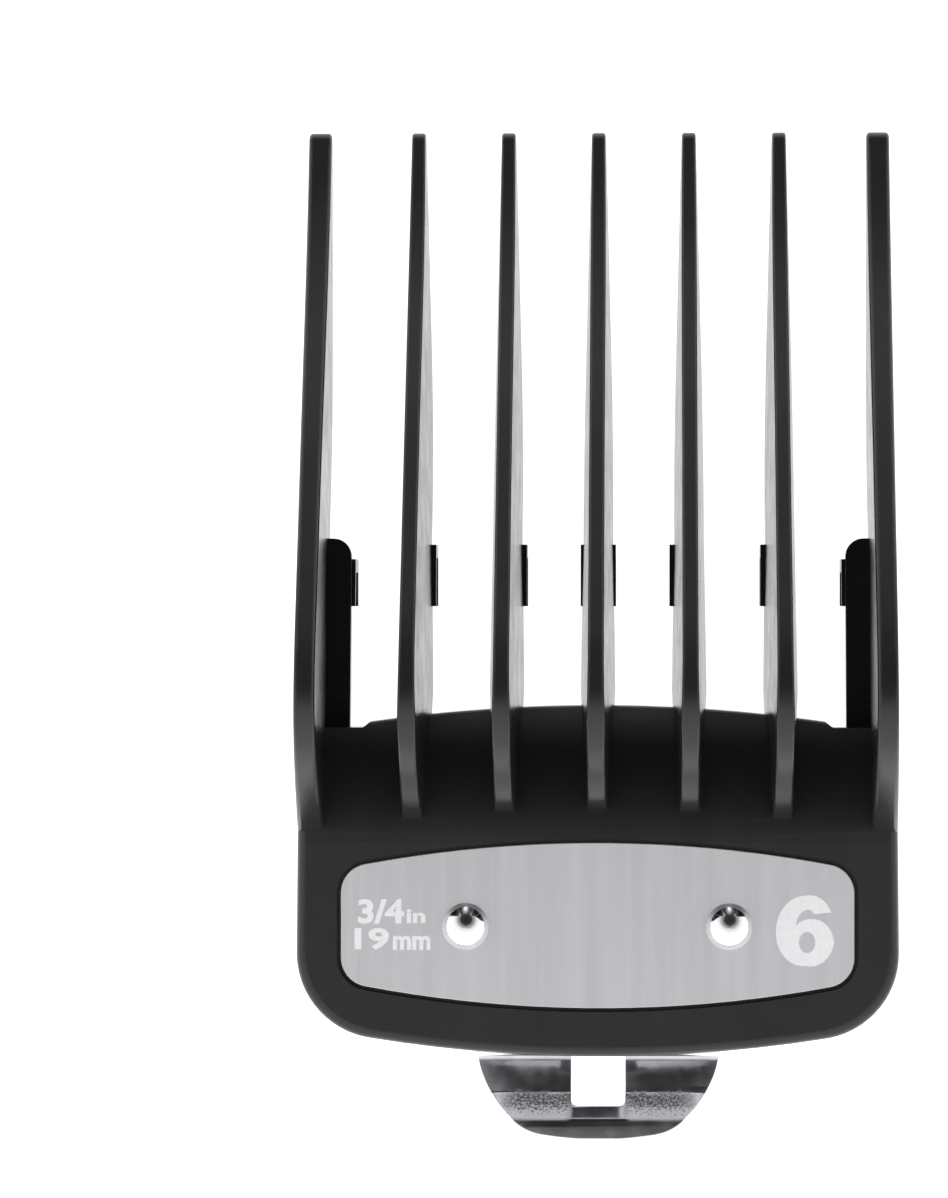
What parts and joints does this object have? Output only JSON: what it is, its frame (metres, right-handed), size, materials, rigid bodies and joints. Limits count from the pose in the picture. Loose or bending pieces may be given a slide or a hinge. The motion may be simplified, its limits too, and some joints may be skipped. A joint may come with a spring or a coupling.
{
  "type": "clipper guard comb",
  "caption": "Clip-on clipper guard comb for a 19 mm cut: black moulded teeth and panel, riveted steel label plate, and a sprung steel clip that grips the blade's heel.",
  "frame": {"origin": "middle of the outline, on the plane the guard rests on when it lies on its back", "axes": "+X across the comb, +Y towards the tooth tips, +Z out of the label face"},
  "size_m": [0.0496, 0.0834, 0.0271],
  "materials": {
    "nylon": "black glass-filled nylon, fine satin texture",
    "label_steel": "stainless sheet, brushed across its short side, white printed size",
    "rivet_metal": "polished dome",
    "spring_steel": "polished spring steel strip"
  },
  "bodies": {
    "comb": {"comb_body": "nylon", "label_plate": "label_steel", "rivet_left": "rivet_metal", "rivet_right": "rivet_metal", "clip_base": "spring_steel"},
    "clip_lever": {"clip_lever": "spring_steel"}
  },
  "joints": [
    {"name": "clip_flex", "type": "hinge", "parent": "comb", "child": "clip_lever", "pos_m": [0, -0.0316, 0.01175], "axis": [-1, 0, 0], "range_deg": [0, 10], "stiffness_Nm_per_rad": 0.8}
  ]
}
